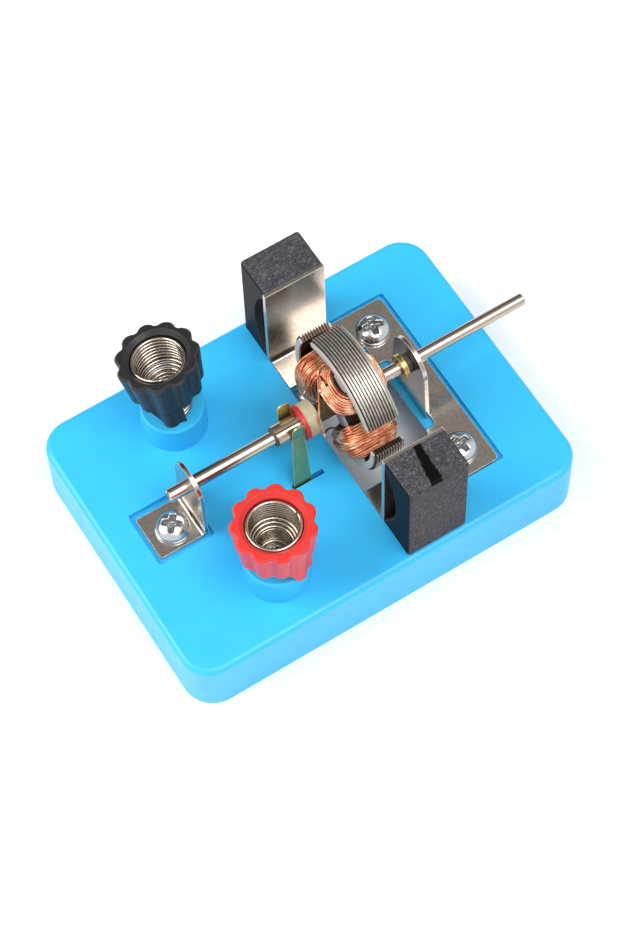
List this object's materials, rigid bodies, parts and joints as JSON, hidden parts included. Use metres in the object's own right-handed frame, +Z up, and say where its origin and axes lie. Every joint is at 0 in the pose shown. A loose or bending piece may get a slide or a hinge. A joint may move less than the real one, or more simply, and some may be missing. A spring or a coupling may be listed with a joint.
{
  "type": "demonstration electric motor",
  "caption": "Open classroom DC motor on a moulded base: wound armature with commutator and brushes between block magnets, spring terminals for the leads.",
  "frame": {"origin": "middle of the base's footprint, on the surface it stands on", "axes": "+X along the shaft to its free end, +Y towards the black terminal, +Z up"},
  "size_m": [0.1118, 0.075, 0.0493],
  "materials": {
    "blue_plastic": "moulded, glossy, light blue",
    "nickel_plate": "nickel-plated sheet steel, bright",
    "zinc_screw": "bright zinc-plated steel",
    "zinc_fastener": "bright zinc-plated steel",
    "ferrite": "sintered ferrite, dark grey, fine grain",
    "brush_brass": "springy brass strip",
    "spring_wire": "nickel-plated spring wire",
    "red_plastic": "moulded, glossy, red",
    "black_plastic": "moulded, glossy, black",
    "shaft_steel": "ground steel rod",
    "lamination_steel": "stamped electrical steel",
    "insulator": "pale moulded insulator",
    "enamelled_copper": "enamelled copper winding wire",
    "insulating_tube": "brown insulating tube",
    "commutator_copper": "bare copper, rubbed",
    "red_ring": "red insulating ring",
    "beige_drum": "beige moulded drum",
    "collar_brass": "turned brass",
    "dark_spacer": "black fibre washer"
  },
  "bodies": {
    "motor_frame": {"base": "blue_plastic", "brush_black_side": "brush_brass", "brush_red_side": "brush_brass", "front_bracket": "nickel_plate", "front_bracket_screw": "zinc_screw", "magnet_black_side": "ferrite", "magnet_red_side": "ferrite", "terminal_nut_black": "zinc_fastener", "terminal_nut_red": "zinc_fastener", "terminal_screw_black": "zinc_fastener", "terminal_screw_red": "zinc_fastener", "terminal_spring_black": "spring_wire", "terminal_spring_red": "spring_wire", "terminal_washer_black": "zinc_fastener", "terminal_washer_red": "zinc_fastener", "yoke_plate": "nickel_plate", "yoke_screw_black_side": "zinc_screw", "yoke_screw_red_side": "zinc_screw"},
    "rotor": {"coil_1": "enamelled_copper", "coil_2": "enamelled_copper", "coil_3": "enamelled_copper", "commutator_drum": "beige_drum", "commutator_ring": "red_ring", "commutator_segment_1": "commutator_copper", "commutator_segment_2": "commutator_copper", "commutator_segment_3": "commutator_copper", "commutator_tube": "insulating_tube", "end_insulator_front": "insulator", "end_insulator_rear": "insulator", "lamination_01": "lamination_steel", "lamination_02": "lamination_steel", "lamination_03": "lamination_steel", "lamination_04": "lamination_steel", "lamination_05": "lamination_steel", "lamination_06": "lamination_steel", "lamination_07": "lamination_steel", "lamination_08": "lamination_steel", "lamination_09": "lamination_steel", "lamination_10": "lamination_steel", "shaft": "shaft_steel", "spacer_washer": "dark_spacer", "thrust_collar": "collar_brass"},
    "cap_red": {"terminal_cap_red": "red_plastic"},
    "cap_black": {"terminal_cap_black": "black_plastic"}
  },
  "joints": [
    {"name": "rotor_spin", "type": "hinge", "parent": "motor_frame", "child": "rotor", "pos_m": [0, 0, 0.0318], "axis": [1, 0, 0], "continuous": true},
    {"name": "red_cap_slide", "type": "slide", "parent": "motor_frame", "child": "cap_red", "axis": [0, 0, 1], "range_m": [-0.0006, 0.0034], "stiffness_N_per_m": 400, "deforming": ["terminal_spring_red"]},
    {"name": "black_cap_slide", "type": "slide", "parent": "motor_frame", "child": "cap_black", "axis": [0, 0, 1], "range_m": [-0.004, 0.0003], "stiffness_N_per_m": 400, "deforming": ["terminal_spring_black"]}
  ]
}
